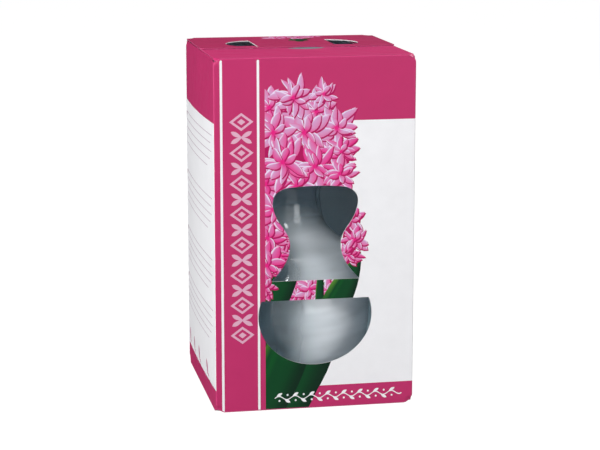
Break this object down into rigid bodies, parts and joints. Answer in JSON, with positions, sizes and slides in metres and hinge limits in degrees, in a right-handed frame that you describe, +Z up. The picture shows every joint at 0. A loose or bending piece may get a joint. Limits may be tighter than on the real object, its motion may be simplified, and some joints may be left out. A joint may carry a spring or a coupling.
{
  "type": "windowed gift carton with hyacinth glass and bulb",
  "caption": "Closed paperboard gift carton with two die-cut windows, an overlapping hinged lid with finger holes, and a bulb glass with its bulb inside.",
  "frame": {"origin": "middle of the carton's base, on the surface that it stands on", "axes": "+Z up, -Y towards the front wall with the windows, +X to the right as seen from the front"},
  "size_m": [0.1086, 0.105, 0.185],
  "materials": {
    "printed_board": "satin",
    "magenta_board": "satin",
    "bare_board": "matte",
    "glass": "gloss",
    "bulb_skin": "matte"
  },
  "bodies": {
    "carton": {"front_panel": "printed_board", "back_panel": "printed_board", "left_panel": "printed_board", "right_panel": "printed_board", "glue_flap": "bare_board", "bottom_outer": "magenta_board", "bottom_inner": "bare_board", "bottom_dust_left": "bare_board", "bottom_dust_right": "bare_board", "glass": "glass", "bulb": "bulb_skin"},
    "lid_back": {"lid_flap_back": "magenta_board"},
    "lid_front": {"lid_flap_front": "magenta_board"},
    "dust_left": {"dust_flap_left": "magenta_board"},
    "dust_right": {"dust_flap_right": "magenta_board"}
  },
  "joints": [
    {"name": "lid_back_crease", "type": "hinge", "parent": "carton", "child": "lid_back", "pos_m": [0, 0.0525, 0.1845], "axis": [-1, 0, 0], "range_deg": [0, 170]},
    {"name": "lid_front_crease", "type": "hinge", "parent": "carton", "child": "lid_front", "pos_m": [0, -0.0525, 0.18388], "axis": [1, 0, 0], "range_deg": [0, 105]},
    {"name": "dust_left_crease", "type": "hinge", "parent": "carton", "child": "dust_left", "pos_m": [-0.0525, 0, 0.18325], "axis": [0, -1, 0], "range_deg": [0, 105]},
    {"name": "dust_right_crease", "type": "hinge", "parent": "carton", "child": "dust_right", "pos_m": [0.0525, 0, 0.18325], "axis": [0, 1, 0], "range_deg": [0, 105]}
  ],
  "couplings": [
    {"joint": "lid_front_crease", "follows": "lid_back_crease", "ratio": 0.6},
    {"joint": "dust_left_crease", "follows": "lid_back_crease", "ratio": 0.6},
    {"joint": "dust_right_crease", "follows": "lid_back_crease", "ratio": 0.6}
  ]
}
